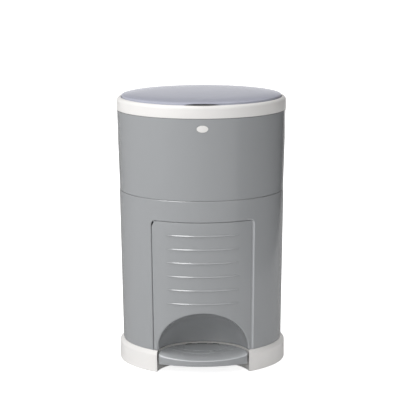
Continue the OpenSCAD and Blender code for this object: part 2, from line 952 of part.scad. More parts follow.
module top_rim() {
    ri = lid_r + lid_gap;
    scoop_c = (scoop_x * scoop_x - scoop_t * scoop_t) / (2 * scoop_t);
    color(shell_white)
    difference() {
        rotate_extrude()
            polygon(concat([[neck_r - 1, rim_z + 0.2], [rim_r, rim_z + 0.2]],
                [for (i = [0 : 8]) let (t = i * 11.25)
                    [rim_r - shoulder_r + shoulder_r * cos(t), rim_top - shoulder_r + shoulder_r * sin(t)]],
                [[ri, rim_top], [ri, funnel_z], [ri - 4, funnel_z], [ri - 4, funnel_z - 3],
                    [neck_r - 4, funnel_z - 6], [neck_r - wall, rim_z + 4], [neck_r - 1, rim_z + 4]]));
        translate([0, -(ri - scoop_c), rim_seat + 3])
            intersection() {
                cylinder(r = scoop_c + scoop_t, h = 20);
                translate([-scoop_x - 3, -scoop_c - 12, 0])
                    cube([2 * scoop_x + 6, 20, 20]);
            }
        rotate([0, 0, 180])
            sector(-pocket_a, pocket_a) {
                translate([ri - 2, funnel_z])
                    square([6, 30]);
                translate([ri, hinge_z + 2])
                    square([10, 30]);
            }
    }
}

deck_in = 3;
ring_t = 3;
lug_r = 3.3;
cone_z = 366;
cone_wall = 2.6;
post_r = 80;
post_as = [40, 140, 220, 320];

function cone_r(z) = throat_r + (mouth_r - throat_r) * (z - cone_z) / (funnel_z - cone_z);

module funnel() {
    color(shell_white)
    difference() {
        union() {
            rotate_extrude()
                polygon([[throat_r, throat_z], [throat_r + wall, throat_z], [throat_r + wall, cone_z],
                    [mouth_r + cone_wall, funnel_z - ring_t], [mouth_r + deck_in, funnel_z - ring_t],
                    [mouth_r + deck_in, funnel_z], [mouth_r, funnel_z - deck_in], [throat_r, cone_z]]);
            for (a = post_as)
                intersection() {
                    translate(at(post_r, a, frame_z + frame_t))
                        cylinder(d = 8, h = 70);
                    rotate_extrude()
                        polygon([[throat_r + 1, throat_z], [post_r + 10, throat_z],
                            [post_r + 10, 430], [cone_r(430) + 1, 430], [throat_r + 1, cone_z + 1]]);
                }
        }
        for (a = post_as)
            translate(at(post_r, a, frame_z))
                cylinder(d = frame_screw_d, h = 16);
    }
}

// The flat ring between the funnel and the rim, with the lugs of the lid hinge
module hinge_deck() {
    lug_h = hinge_z - funnel_z;
    color(shell_white)
    difference() {
        union() {
            ring(lid_r + lid_gap - 4, mouth_r + deck_in, funnel_z - ring_t, funnel_z);
            for (x = [-31, -21, 21, 31])
                side(x - 2.5, x + 2.5)
                    union() {
                        translate([hinge_y, hinge_z])
                            circle(r = lug_r);
                        translate([hinge_y - lug_r, funnel_z])
                            square([2 * lug_r, lug_h]);
                        polygon([[hinge_y - 10, funnel_z - 1], [hinge_y - 4.5, funnel_z - 1],
                            [hinge_y - 4.5, funnel_z + 0.5], [hinge_y, funnel_z + 0.5],
                            [hinge_y, hinge_z - 3], [hinge_y - 3, hinge_z - 3]]);
                    }
        }
        translate([0, rod_y, funnel_z - 20])
            cylinder(d = rod_hole_d, h = 40);
        translate([0, hinge_y, hinge_z])
            shaft_x(lid_pin_d, 100);
    }
}

seal_t = 2.2;

module throat_seal() {
    color(rubber_grey)
        rotate_extrude()
            polygon([[throat_r + 0.4, throat_z - 1.4], [throat_r + 3, throat_z - 1.4],
                [throat_r + wall + 1.4, throat_z + 1], [throat_r + wall + 1.4, throat_z + 6],
                [throat_r + wall, throat_z + 6], [throat_r + wall, throat_z], [throat_r, throat_z],
                [throat_r, throat_z - 1]]);
}

frame_z = 360;
frame_t = 3;
frame_r = 97;
frame_back = 67;
frame_screw_d = 3;
flap_z = 349;
shaft_d = 6;
lug_front = -50;
lug_back = 61;

module flap_frame() {
    color(inner_grey)
    difference() {
        union() {
            intersection() {
                ring(frame_r, throat_r + wall + 1.5, frame_z, frame_z + frame_t);
                translate([-frame_r, -72, 0])
                    cube([2 * frame_r, 72 + frame_back, 500]);
            }
            for (s = [-1, 1])
                for (y = [lug_front, lug_back])
                    translate([s * flap_x, y, 0]) {
                        translate([0, 0, flap_z])
                            shaft_y(12, 6);
                        translate([-6, -3, flap_z])
                            cube([12, 6, frame_z - flap_z + 1]);
                    }
        }
        for (s = [-1, 1])
            translate([s * flap_x, 0, flap_z])
                shaft_y(shaft_d + 2 * fit, 200);
        for (a = post_as)
            translate(at(post_r, a, frame_z - 1))
                cylinder(d = frame_screw_d, h = 16);
    }
}

module frame_screws() {
    color(steel)
        for (a = post_as)
            translate(at(post_r, a, 0)) {
                translate([0, 0, frame_z - 2.4])
                    cylinder(d = 6, h = 2.4);
                translate([0, 0, frame_z - 0.1])
                    cylinder(d = frame_screw_d, h = 12);
            }
}

// ---------------------------------------------------------------- flaps

flap_top = throat_z - 1.4 - 0.3;
crank_y0 = 70;
crank_t = 4;
crank_x = flap_x + crank_r * cos(crank_a);
crank_dz = crank_r * sin(crank_a);
bar_y = 77;
bar_t = 6;
barrel_d = 10;
barrel_l = 18;
barrel_y = 35;

// The right-hand flap: a half disc with a strip round its shaft; s mirrors it
module flap(s) {
    color(inner_grey)
    difference() {
        union() {
            translate([0, 0, flap_top - flap_t])
                linear_extrude(height = flap_t)
                    difference() {
                        union() {
                            circle(r = throat_r + 3.5);
                            translate([-flap_x, -40])
                                square([2 * flap_x, 80]);
                        }
                        translate([s > 0 ? -big : -1.4, -big])
                            square([big + 1.4, 2 * big]);
                    }
            for (y = [-barrel_y, barrel_y])
                translate([s * flap_x, y, flap_z])
                    shaft_y(barrel_d, barrel_l);
            for (y = [-26, 0, 26])
                translate([s > 0 ? 8 : -flap_x, y - 1, flap_top - flap_t - 5])
                    cube([flap_x - 8, 2, 5.1]);
        }
        translate([s * flap_x, 0, flap_z])
            shaft_y(shaft_d, 200);
    }
}

module flap_seal(s) {
    color(rubber_grey)
        translate([s > 0 ? 0.5 : -1.4, -throat_r - 2, flap_top - flap_t])
            cube([0.9, 2 * throat_r + 4, flap_t]);
}

module flap_shaft(s) {
    color(steel)
        translate([s * flap_x, 0, flap_z]) {
            translate([0, (crank_y0 + crank_t + lug_front - 5) / 2, 0])
                shaft_y(shaft_d, crank_y0 + crank_t - lug_front + 5);
            translate([0, crank_y0 + crank_t, 0])
                rotate([90, 0, 0])
                    linear_extrude(height = crank_t)
                        crank_plan(s);
            translate([s * (crank_x - flap_x), (crank_y0 + bar_y + bar_t + 1) / 2, -crank_dz])
                shaft_y(crank_pin_d, bar_y + bar_t + 1 - crank_y0);
        }
}

// A crank between its shaft and its pin, seen from the front
module crank_plan(s) {
    circle(r = 5);
    translate([s * (crank_x - flap_x), -crank_dz])
        circle(r = 3.5);
    rotate(s > 0 ? -crank_a : 180 + crank_a)
        translate([0, -3.2])
            square([crank_r, 6.4]);
}

// ---------------------------------------------------------------- lift rod

bar_x = 87;
bar_z0 = 334.4;
bar_z1 = 345.6;
slot_play = 0.9;
slot_run = 4;
head_x = 2.5;
crank_end_y = hinge_y - crank_r * cos(crank_a);
head_z = hinge_z - crank_r * sin(crank_a);

module upper_push_rod() {
    color(steel)
    difference() {
        union() {
            translate([0, rod_y, up_bot])
                cylinder(d = rod_d, h = head_z - 3 - up_bot);
            translate([-head_x, crank_end_y - 8, head_z - 4])
                cube([2 * head_x, 13, 9]);
        }
        translate([0, crank_end_y - slot_run + 0.5, head_z - crank_pin_d / 2 - slot_play / 2])
            translate([-5, -crank_pin_d / 2, 0])
                cube([10, crank_pin_d + slot_run, crank_pin_d + slot_play]);
    }
}

module yoke_bar() {
    slot_z = flap_z - crank_dz - crank_pin_d / 2 - slot_play / 2;
    color(steel)
    difference() {
        union() {
            translate([-bar_x, bar_y, bar_z0])
                cube([2 * bar_x, bar_t, bar_z1 - bar_z0]);
            translate([-6, bar_y + 1, bar_z0])
                cube([12, rod_y - bar_y - 1, 6]);
            translate([0, rod_y, bar_z0])
                cylinder(d = rod_d + 8, h = bar_z1 - bar_z0);
            side(-1.5, 1.5)
                polygon([[bar_y + bar_t - 1, bar_z0 + 5], [rod_y, bar_z0 + 5], [rod_y, bar_z1],
                    [bar_y + bar_t - 1, bar_z1]]);
        }
        translate([0, rod_y, bar_z0 - 1])
            cylinder(d = rod_d, h = 20);
        for (s = [-1, 1])
            translate([s * (crank_x + 1.5) - (crank_pin_d + slot_run) / 2, bar_y - 1, slot_z])
                cube([crank_pin_d + slot_run, bar_t + 2, crank_pin_d + slot_play]);
        for (s = [-1, 1])
            for (x = [20, 40])
                translate([s * x - 7, bar_y - 1, bar_z0 + 3])
                    cube([14, bar_t + 2, 5.2]);
    }
}

// ---------------------------------------------------------------- lid

lid_pin_d = 3.5;
lid_edge_z = 512.4;
skirt_z = 505;
dome_r = (lid_r * lid_r + lid_rise * lid_rise) / (2 * lid_rise);

function dome_z(r, d) = lid_edge_z + lid_rise - dome_r + sqrt(dome_r * dome_r - r * r) - d;

module lid_shell() {
    color(lid_grey)
    difference() {
        rotate_extrude()
            polygon(concat(
                [for (i = [0 : 16]) let (r = (lid_r - 1.2) * i / 16) [r, dome_z(r, 0)]],
                [[lid_r - 0.3, lid_edge_z - 0.6], [lid_r, lid_edge_z - 1.4], [lid_r, skirt_z],
                    [lid_r - lid_t, skirt_z], [lid_r - lid_t, dome_z(lid_r - lid_t, lid_t)]],
                [for (i = [15 : -1 : 0]) let (r = (lid_r - 3) * i / 16) [r, dome_z(r, lid_t)]]));
        rotate([0, 0, 180])
            sector(-22, 22)
                polygon([[lid_r - 9, skirt_z - 1], [lid_r + 1, skirt_z - 1], [lid_r + 1, hinge_z + lug_r + 0.3],
                    [lid_r - 9, hinge_z + lug_r + 0.3]]);
    }
}

pan_r = 122;
pan_z = 498;
pan_wall = 2;

module lid_liner() {
    color(shell_white)
    difference() {
        union() {
            rotate_extrude()
                polygon([[0, pan_z], [pan_r + pan_wall, pan_z], [pan_r + pan_wall, dome_z(pan_r + pan_wall, lid_t + 0.1)],
                    [pan_r, dome_z(pan_r, lid_t + 0.1)], [pan_r, pan_z + pan_wall], [0, pan_z + pan_wall]]);
            intersection() {
                union() {
                    for (a = [0 : 45 : 135])
                        rotate([0, 0, a])
                            translate([-pan_r - 1, -1, pan_z + 1])
                                cube([2 * pan_r + 2, 2, 30]);
                    translate([0, 0, pan_z + 1])
                        cylinder(r = 8, h = 30);
                }
                dome_inside();
            }
            for (x = [-26, 26])
                intersection() {
                    side(x - 2, x + 2)
                        arm_plan(false);
                    dome_inside();
                }
            for (x = [-4.7, 4.7])
                intersection() {
                    side(x - 1.5, x + 1.5)
                        arm_plan(true);
                    dome_inside();
                }
        }
        translate([0, hinge_y, hinge_z])
            shaft_x(lid_pin_d + 2 * fit, 100);
        translate([0, crank_end_y, head_z])
            shaft_x(crank_pin_d, 30);
    }
}

// The space under the inside face of the lid shell
module dome_inside() {
    rotate_extrude()
        polygon(concat([[0, 490]], [[lid_r - lid_t - 0.3, 490]],
            [for (i = [12 : -1 : 0]) let (r = (lid_r - lid_t - 0.3) * i / 12) [r, dome_z(r, lid_t + 0.1)]]));
}

// Side view of a hinge arm of the lid, with its crank
module arm_plan(with_crank) {
    difference() {
        union() {
            translate([hinge_y, hinge_z])
                circle(r = 3.5);
            polygon([[pan_r - 6, pan_z + 5], [pan_r - 6, 520], [hinge_y, 520], [hinge_y + 3.4, hinge_z],
                [hinge_y - 1, hinge_z - 3.4], [pan_r + 10, hinge_z - 3]]);
            if (with_crank) {
                translate([crank_end_y, head_z])
                    circle(r = 3.4);
                translate([crank_end_y, head_z])
                    rotate(crank_a)
                        translate([0, -3])
                            square([crank_r, 6]);
            }
        }
        translate([hinge_y + 0.6, hinge_z + 3.4])
            square([10, 20]);
    }
}

module lid_gasket() {
    color(rubber_grey)
        rotate_extrude()
            polygon([[pan_r - 1, funnel_z + 0.4], [pan_r + 2, funnel_z + 0.4], [pan_r + pan_wall + 1.6, pan_z],
                [pan_r + pan_wall + 1.6, pan_z + 4], [pan_r + pan_wall, pan_z + 4],
                [pan_r + pan_wall, pan_z], [pan_r - 2, pan_z]]);
}

module lid_hinge_pin() {
    color(steel) {
        translate([0, hinge_y, hinge_z])
            shaft_x(lid_pin_d, 70);
    }
}

module crank_pin() {
    color(steel)
        translate([0, crank_end_y, head_z])
            shaft_x(crank_pin_d, 12.4);
}

base_skirt();
rubber_feet();
lower_body();
body_screws();
cassette_tray();
locating_ring();
refill_cassette();
rod_channel();
cutter_housing();
cutter_blade();
tilt_hinge_pin();
front_door();
door_hinge_pins();
door_catch();
pedal_tread();
pedal_lever();
pedal_axle();
tread_screws();
lower_push_rod();
spring_collar();
return_spring();
upper_body();
badge();
top_rim();
funnel();
hinge_deck();
throat_seal();
flap_frame();
frame_screws();
upper_push_rod();
yoke_bar();
lid_shell();
lid_liner();
lid_gasket();
lid_hinge_pin();
crank_pin();
flap(-1);  // flap_left
flap(1);  // flap_right
flap_seal(-1);  // flap_seal_left
flap_seal(1);  // flap_seal_right
flap_shaft(-1);  // flap_shaft_left
flap_shaft(1);  // flap_shaft_right
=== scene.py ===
import json
import math

import bmesh
import bpy
from mathutils import Matrix, Vector


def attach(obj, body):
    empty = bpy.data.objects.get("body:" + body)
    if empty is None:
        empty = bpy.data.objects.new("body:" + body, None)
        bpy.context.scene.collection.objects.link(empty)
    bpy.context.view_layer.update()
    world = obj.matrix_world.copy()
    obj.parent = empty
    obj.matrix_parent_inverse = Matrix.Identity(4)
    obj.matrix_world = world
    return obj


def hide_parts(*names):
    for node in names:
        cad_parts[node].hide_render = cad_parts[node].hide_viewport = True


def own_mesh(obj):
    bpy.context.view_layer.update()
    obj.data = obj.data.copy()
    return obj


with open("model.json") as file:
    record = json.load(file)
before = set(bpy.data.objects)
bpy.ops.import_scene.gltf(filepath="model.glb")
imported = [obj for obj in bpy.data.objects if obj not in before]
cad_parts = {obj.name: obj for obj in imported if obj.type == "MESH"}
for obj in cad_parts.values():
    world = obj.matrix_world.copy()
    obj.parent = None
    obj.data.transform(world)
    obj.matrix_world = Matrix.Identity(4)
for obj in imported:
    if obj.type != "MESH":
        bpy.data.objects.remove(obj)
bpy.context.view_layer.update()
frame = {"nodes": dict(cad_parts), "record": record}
nodes = frame["nodes"]
scene = bpy.context.scene

# Sizes of the CAD model that the pieces here share, in millimetres
MM = 0.001
FOOT_R, SEAM_R, NECK_R = 153.8, 158.7, 162.5
BASE_H, SEAM_Z, RIM_Z = 41.0, 333.0, 487.0
DOOR_A, DOOR_TOP, DOOR_BOT = math.radians(37.5), 292.0, 42.0
DOOR_SINK, DOOR_T = 0.8, 2.6
RECESS_R, RECESS_Y, ARCH_H = 89.0, 149.0, 77.0
RIB_Z, RIB_PITCH, RIB_N, RIB_X = 136.3, 26.1, 6, 72.5
CAD_SMOOTH_DEG = 32


# ---------------------------------------------------------------- meshes

def shade(obj, deg):
    """Smooth shading, with sharp edges where faces meet at more than deg."""
    mesh = obj.data
    mesh.polygons.foreach_set("use_smooth", [True] * len(mesh.polygons))
    if hasattr(mesh, "set_sharp_from_angle"):
        mesh.set_sharp_from_angle(angle=math.radians(deg))
    mesh.update()


def mesh_piece(name, verts, faces, material, smooth_deg):
    """A mesh object from points in millimetres, shaded smooth up to the given angle."""
    mesh = bpy.data.meshes.new(name)
    mesh.from_pydata([tuple(c * MM for c in v) for v in verts], [], faces)
    bm = bmesh.new()
    bm.from_mesh(mesh)
    bmesh.ops.remove_doubles(bm, verts=bm.verts, dist=1e-6)
    bmesh.ops.recalc_face_normals(bm, faces=bm.faces)
    bm.to_mesh(mesh)
    bm.free()
    mesh.materials.append(material)
    obj = bpy.data.objects.new(name, mesh)
    scene.collection.objects.link(obj)
    shade(obj, smooth_deg)
    return obj


def loft(name, loops, material, smooth_deg, start_cap=True):
    """Skin over loops of equally many points, with a face over the last loop and, if asked, the first."""
    n, last = len(loops[0]), len(loops) - 1
    faces = []
    for i in range(last):
        for k in range(n):
            a, b = i * n + k, i * n + (k + 1) % n
            faces.append((a, b, b + n, a + n))
    if start_cap:
        faces.append(tuple(range(n)))
    faces.append(tuple(last * n + k for k in range(n)))
    return mesh_piece(name, [v for loop in loops for v in loop], faces, material, smooth_deg)


def turned(name, profile, material, origin, tilt, sides, smooth_deg):
    """A closed profile of (radius, height) points turned about Z, then tilted and moved."""
    verts, faces, n = [], [], len(profile)
    for s in range(sides):
        a = 2 * math.pi * s / sides
        for r, z in profile:
            verts.append(tilt @ Vector((r * math.cos(a), r * math.sin(a), z)) + origin)
    for s in range(sides):
        t = (s + 1) % sides
        for k in range(n):
            after = (k + 1) % n
            faces.append((s * n + k, s * n + after, t * n + after, t * n + k))
    return mesh_piece(name, verts, faces, material, smooth_deg)


def lathe(name, section, turns, material, smooth_deg, poles=()):
    """Skin over a section that changes with the azimuth, closed at the given heights on the axis."""
    verts, faces = [], []
    n, count = len(section(turns[0])), len(turns)
    for a in turns:
        for r, z in section(a):
            verts.append((r * math.sin(a), -r * math.cos(a), z))
    for s in range(count):
        t = (s + 1) % count
        for k in range(n - 1):
            faces.append((s * n + k, s * n + k + 1, t * n + k + 1, t * n + k))
        if not poles:
            faces.append((s * n + n - 1, s * n, t * n, t * n + n - 1))
    for end, z in zip((0, n - 1), poles):
        verts.append((0, 0, z))
        for s in range(count):
            t = (s + 1) % count
            faces.append((len(verts) - 1, s * n + end, t * n + end))
    return mesh_piece(name, verts, faces, material, smooth_deg)


def azimuths(steps, *breaks):
    """Even azimuths round the circle, with a close pair at each break, given in degrees."""
    clear, split = 0.3, 0.02
    angles = [360 * i / steps for i in range(steps)]
    for b in breaks:
        angles = [a for a in angles if abs((a - b + 180) % 360 - 180) > clear]
        angles += [(b - split) % 360, (b + split) % 360]
    return [math.radians(a) for a in sorted(angles)]


def rounded(points, steps=5):
    """A closed profile with each corner (x, z, radius) turned into an arc."""
    path, n = [], len(points)
    for i, (x, z, r) in enumerate(points):
        here = Vector((x, z))
        before, after = Vector(points[i - 1][:2]), Vector(points[(i + 1) % n][:2])
        d0, d1 = (before - here).normalized(), (after - here).normalized()
        half = math.acos(max(-1, min(1, d0.dot(d1)))) / 2
        reach = min(r / math.tan(half), (before - here).length * 0.49, (after - here).length * 0.49)
        p0, p1 = here + d0 * reach, here + d1 * reach
        for k in range(steps + 1):
            f = k / steps
            q = p0.lerp(here, f).lerp(here.lerp(p1, f), f)
            path.append((q.x, q.y))
    return path


# ---------------------------------------------------------------- materials

def srgb(r, g, b):
    """An sRGB colour of 0 to 255 as linear red, green, blue, alpha."""
    def lin(c):
        c /= 255
        return c / 12.92 if c <= 0.04045 else ((c + 0.055) / 1.055) ** 2.4
    return (lin(r), lin(g), lin(b), 1)


def link(tree, a, out, b, inp):
    """Join output out of node a to input inp of node b."""
    tree.links.new(a.outputs[out], b.inputs[inp])


def noise(tree, feed, socket, scale, detail):
    """Noise texture that reads its place from the given socket."""
    node = tree.nodes.new("ShaderNodeTexNoise")
    node.inputs["Scale"].default_value = scale
    node.inputs["Detail"].default_value = detail
    link(tree, feed, socket, node, "Vector")
    return node


def spread(tree, node, socket, from_range, to_range):
    """Maps one range of values onto another."""
    out = tree.nodes.new("ShaderNodeMapRange")
    out.inputs["From Min"].default_value, out.inputs["From Max"].default_value = from_range
    out.inputs["To Min"].default_value, out.inputs["To Max"].default_value = to_range
    link(tree, node, socket, out, "Value")
    return out


COAT_ROUGH = 0.12
DRIFT_SCALE, DRIFT_DETAIL = 9, 3
PATCH_SCALE, PATCH_DETAIL, PATCH_ROUGH, PATCH_SPAN = 34, 6, 0.62, (0.3, 0.7)
ROUGH_DRIFT, ROUGH_LEAST = 0.02, 0.02
GRAIN_DETAIL, GRAIN_STRENGTH = 2, 0.6


def moulded(name, color, rough, coat=0.0, var=0.03, grain=900.0, bump=0.00004, metallic=0.0, streak=None):
    """Moulded plastic or metal: tone that drifts a little, fine surface grain, smoother and duller patches."""
    m = bpy.data.materials.new(name)
    m.use_nodes = True
    t = m.node_tree
    bsdf = t.nodes["Principled BSDF"]
    bsdf.inputs["Metallic"].default_value = metallic
    bsdf.inputs["Coat Weight"].default_value = coat
    bsdf.inputs["Coat Roughness"].default_value = COAT_ROUGH
    coords = t.nodes.new("ShaderNodeTexCoord")
    drift = noise(t, coords, "Object", DRIFT_SCALE, DRIFT_DETAIL)
    tone = t.nodes.new("ShaderNodeMix")
    tone.data_type = "RGBA"
    tone.inputs[6].default_value = tuple(c * (1 - var) for c in color[:3]) + (1,)
    tone.inputs[7].default_value = tuple(min(1, c * (1 + var)) for c in color[:3]) + (1,)
    link(t, drift, "Fac", tone, 0)
    link(t, tone, 2, bsdf, "Base Color")
    feed, socket = coords, "Object"
    if streak:
        feed, socket = t.nodes.new("ShaderNodeMapping"), "Vector"
        feed.inputs["Scale"].default_value = streak
        link(t, coords, "Object", feed, "Vector")
    patch = noise(t, feed, socket, PATCH_SCALE, PATCH_DETAIL)
    patch.inputs["Roughness"].default_value = PATCH_ROUGH
    span = spread(t, patch, "Fac", PATCH_SPAN, (max(ROUGH_LEAST, rough - ROUGH_DRIFT), rough + ROUGH_DRIFT))
    link(t, span, "Result", bsdf, "Roughness")
    fine = noise(t, feed, socket, grain, GRAIN_DETAIL)
    relief = t.nodes.new("ShaderNodeBump")
    relief.inputs["Strength"].default_value = GRAIN_STRENGTH
    relief.inputs["Distance"].default_value = bump
    link(t, fine, "Fac", relief, "Height")
    link(t, relief, "Normal", bsdf, "Normal")
    return m


BODY = moulded("body_plastic", srgb(152, 154, 156), rough=0.24, coat=0.9,
               var=0.006, grain=1500, bump=0.000003)
# Lighter copy of the body plastic: a painted highlight on the latch jamb, the tread's front edge and the front
# flanks of its ridges
PAINTED_HIGHLIGHT = moulded("body_plastic_painted_highlight", srgb(186, 188, 191), rough=0.24, coat=0.6,
               var=0.006, grain=1500, bump=0.000003)
# Lighter copy of the body plastic for the tread's upward faces: painted light where the recess shades them
PAINTED_LIGHT_TOP = moulded("body_plastic_tread_painted_light", srgb(174, 176, 178), rough=0.26, coat=0.6,
              var=0.006, grain=1500, bump=0.000004)
WHITE = moulded("white_plastic", srgb(224, 222, 220), rough=0.34, coat=0.1,
                var=0.01, grain=1500, bump=0.000006)
LID = moulded("lid_plastic", srgb(178, 180, 194), rough=0.2, coat=0.2,
              var=0.012, grain=1300, bump=0.000003)
INNER = moulded("inner_plastic", srgb(205, 205, 203), rough=0.5, var=0.02, grain=900, bump=0.00006)
REFILL = moulded("refill_plastic", srgb(158, 184, 208), rough=0.42, var=0.02, grain=900, bump=0.00005)
LEVER = moulded("lever_steel", srgb(150, 152, 155), rough=0.36, metallic=0.9, var=0.06, grain=260,
                bump=0.00004, streak=(1, 6, 6))
STEEL = moulded("steel", srgb(190, 192, 196), rough=0.24, metallic=1.0, var=0.05, grain=320,
                bump=0.00003, streak=(12, 12, 1))
RUBBER = moulded("rubber", srgb(44, 44, 47), rough=0.72, var=0.1, grain=1400, bump=0.00012)

BY_SLOT = {"body_plastic": BODY, "white_plastic": WHITE, "lid_plastic": LID, "inner_plastic": INNER,
           "refill_plastic": REFILL, "lever_steel": LEVER, "steel": STEEL, "rubber": RUBBER}
for part in frame["record"]["subparts"]:
    cad = nodes[part["node"]]
    cad.data.materials.clear()
    cad.data.materials.append(BY_SLOT[part["material_slot"]])


# ---------------------------------------------------------------- stage, light, camera

FLOOR_HALF, FLOOR_TONE, FLOOR_ROUGH, FLOOR_SHINE, FLOOR_LIFT = 30, 0.9, 0.9, 0.1, 0.82
DARK_CENTRE, DARK_EDGE = (0, 0.06, 0), (0.095, 0.105)
ROOM_LIGHT, SEEN_LIGHT = 0.8, 1.0
CARD_ROUGH = 0.9


def quad(name, corners):
    """One four-sided face of the stage, in metres."""
    mesh = bpy.data.meshes.new(name)
    mesh.from_pydata(corners, [], [(0, 1, 2, 3)])
    obj = bpy.data.objects.new(name, mesh)
    scene.collection.objects.link(obj)
    return obj


def level(half, z):
    """Corners of a level square about the middle of the floor."""
    return [(-half, -half, z), (half, -half, z), (half, half, z), (-half, half, z)]


def upright(near, far, low, high):
    """Corners of an upright card from one point of the floor plan to another."""
    return [(*near, low), (*far, low), (*far, high), (*near, high)]


def white_floor():
    """Pale floor that keeps the shadow and otherwise runs into the white, but stays dark under the bin."""
    m = bpy.data.materials.new("studio_floor")
    m.use_nodes = True
    t = m.node_tree
    bsdf = t.nodes["Principled BSDF"]
    bsdf.inputs["Base Color"].default_value = (FLOOR_TONE, FLOOR_TONE, FLOOR_TONE, 1)
    bsdf.inputs["Roughness"].default_value = FLOOR_ROUGH
    bsdf.inputs["Specular IOR Level"].default_value = FLOOR_SHINE
    bsdf.inputs["Emission Color"].default_value = (1, 1, 1, 1)
    ray = t.nodes.new("ShaderNodeLightPath")
    gain = t.nodes.new("ShaderNodeMath")
    gain.operation = "MULTIPLY"
    gain.inputs[1].default_value = FLOOR_LIFT
    link(t, ray, "Is Camera Ray", gain, 0)
    place = t.nodes.new("ShaderNodeTexCoord")
    away = t.nodes.new("ShaderNodeVectorMath")
    away.operation = "DISTANCE"
    away.inputs[1].default_value = DARK_CENTRE
    link(t, place, "Object", away, 0)
    under = spread(t, away, "Value", DARK_EDGE, (0, 1))
    lift = t.nodes.new("ShaderNodeMath")
    lift.operation = "MULTIPLY"
    link(t, gain, "Value", lift, 0)
    link(t, under, "Result", lift, 1)
    link(t, lift, "Value", bsdf, "Emission Strength")
    return m


def studio_world():
    """White to the camera, to reflections and through clear pieces, and a little less as light."""
    world = bpy.data.worlds.new("studio")
    scene.world = world
    world.use_nodes = True
    t = world.node_tree
    t.nodes.clear()
    end = t.nodes.new("ShaderNodeOutputWorld")
    mixer = t.nodes.new("ShaderNodeMixShader")
    for slot, strength in ((1, ROOM_LIGHT), (2, SEEN_LIGHT)):
        back = t.nodes.new("ShaderNodeBackground")
        back.inputs["Color"].default_value = (1, 1, 1, 1)
        back.inputs["Strength"].default_value = strength
        t.links.new(back.outputs[0], mixer.inputs[slot])
    ray = t.nodes.new("ShaderNodeLightPath")
    most = t.nodes.new("ShaderNodeMath")
    most.operation = "MAXIMUM"
    link(t, ray, "Is Camera Ray", most, 0)
    link(t, ray, "Is Transmission Ray", most, 1)
    both = t.nodes.new("ShaderNodeMath")
    both.operation = "MAXIMUM"
    link(t, most, "Value", both, 0)
    link(t, ray, "Is Glossy Ray", both, 1)
    link(t, both, "Value", mixer, 0)
    t.links.new(mixer.outputs[0], end.inputs[0])


def softbox(name, where, aim, size, watts):
    """Rectangular area light aimed at a point."""
    data = bpy.data.lights.new(name, "AREA")
    data.shape = "RECTANGLE"
    data.size, data.size_y = size
    data.energy = watts
    obj = bpy.data.objects.new(name, data)
    scene.collection.objects.link(obj)
    obj.location = where
    obj.rotation_euler = (Vector(aim) - Vector(where)).to_track_quat("-Z", "Y").to_euler()
    return obj


def card(name, tone, corners, diffuse):
    """Grey studio card that shades and is reflected, but that the camera does not see."""
    m = bpy.data.materials.new(name)
    m.use_nodes = True
    bsdf = m.node_tree.nodes["Principled BSDF"]
    bsdf.inputs["Base Color"].default_value = (tone, tone, tone, 1)
    bsdf.inputs["Roughness"].default_value = CARD_ROUGH
    bsdf.inputs["Specular IOR Level"].default_value = 0
    obj = quad(name, corners)
    obj.data.materials.append(m)
    obj.visible_camera = False
    obj.visible_diffuse = diffuse


def glow(name, corners, heights, strengths):
    """Backdrop that only reflections see: its strength goes from one value to another between two heights."""
    m = bpy.data.materials.new(name)
    m.use_nodes = True
    t = m.node_tree
    t.nodes.clear()
    place = t.nodes.new("ShaderNodeTexCoord")
    split = t.nodes.new("ShaderNodeSeparateXYZ")
    link(t, place, "Object", split, "Vector")
    fade = spread(t, split, "Z", heights, strengths)
    fade.interpolation_type = "SMOOTHSTEP"
    emit = t.nodes.new("ShaderNodeEmission")
    link(t, fade, "Result", emit, "Strength")
    end = t.nodes.new("ShaderNodeOutputMaterial")
    link(t, emit, "Emission", end, "Surface")
    obj = quad(name, corners)
    obj.data.materials.append(m)
    obj.visible_camera = obj.visible_diffuse = obj.visible_shadow = obj.visible_transmission = False


floor = quad("studio_floor", level(FLOOR_HALF, 0))
floor.data.materials.append(white_floor())
studio_world()
card("card_right", 0.03, upright((0.75, -0.75), (0.95, 1.6), 0.02, 1.3), False)
card("card_behind_left", 0.34, upright((-1.1, 0.1), (-0.75, 2.2), 0.02, 1.3), False)
card("flag_right", 0.08, upright((0.62, -0.3), (0.8, 1.4), 0.42, 1.3), True)
glow("backdrop_glow", upright((-9, 3), (9, 3), 0, 4), (0.7, 1.04), (0.95, 0.14))
glow("floor_tone", level(9, 0.0004), (0, 1), (0.3, 0.3))
softbox("key_left", (-2.1, -1.7, 1.3), (0, 0, 0.25), (2.4, 1.8), 16)
fill = softbox("fill_low", (-1.9, -1.6, 0.3), (0, -0.1, 0.06), (0.9, 0.5), 3)
fill.visible_glossy = False
softbox("top_soft", (-0.85, -0.5, 2.1), (0, 0, 0.3), (0.9, 1.0), 15)

# Camera: about 3.5 m away, looking down by 10 degrees, a touch to the left of the door's middle
SWING, PITCH, ROLL = math.radians(-0.65), math.radians(10.02), math.radians(0.2208)
CAMERA_AT, SENSOR, FOCAL_PIXELS, FRAME_PIXELS = (-0.00317, -3.5, 0.9267), 36, 1831.56, 400
camera_data = bpy.data.cameras.new("camera")
camera_data.sensor_width = SENSOR
camera_data.lens = SENSOR * FOCAL_PIXELS / FRAME_PIXELS
camera_data.clip_end = 50
camera = bpy.data.objects.new("camera", camera_data)
scene.collection.objects.link(camera)
swing = Matrix.Rotation(SWING, 4, "Z")
aim = swing @ Matrix.Translation(CAMERA_AT) @ Matrix.Rotation(math.pi / 2 - PITCH, 4, "X")
camera.matrix_world = aim @ Matrix.Rotation(-ROLL, 4, "Z")
scene.camera = camera
scene.view_settings.view_transform = "Standard"

# ---------------------------------------------------------------- door

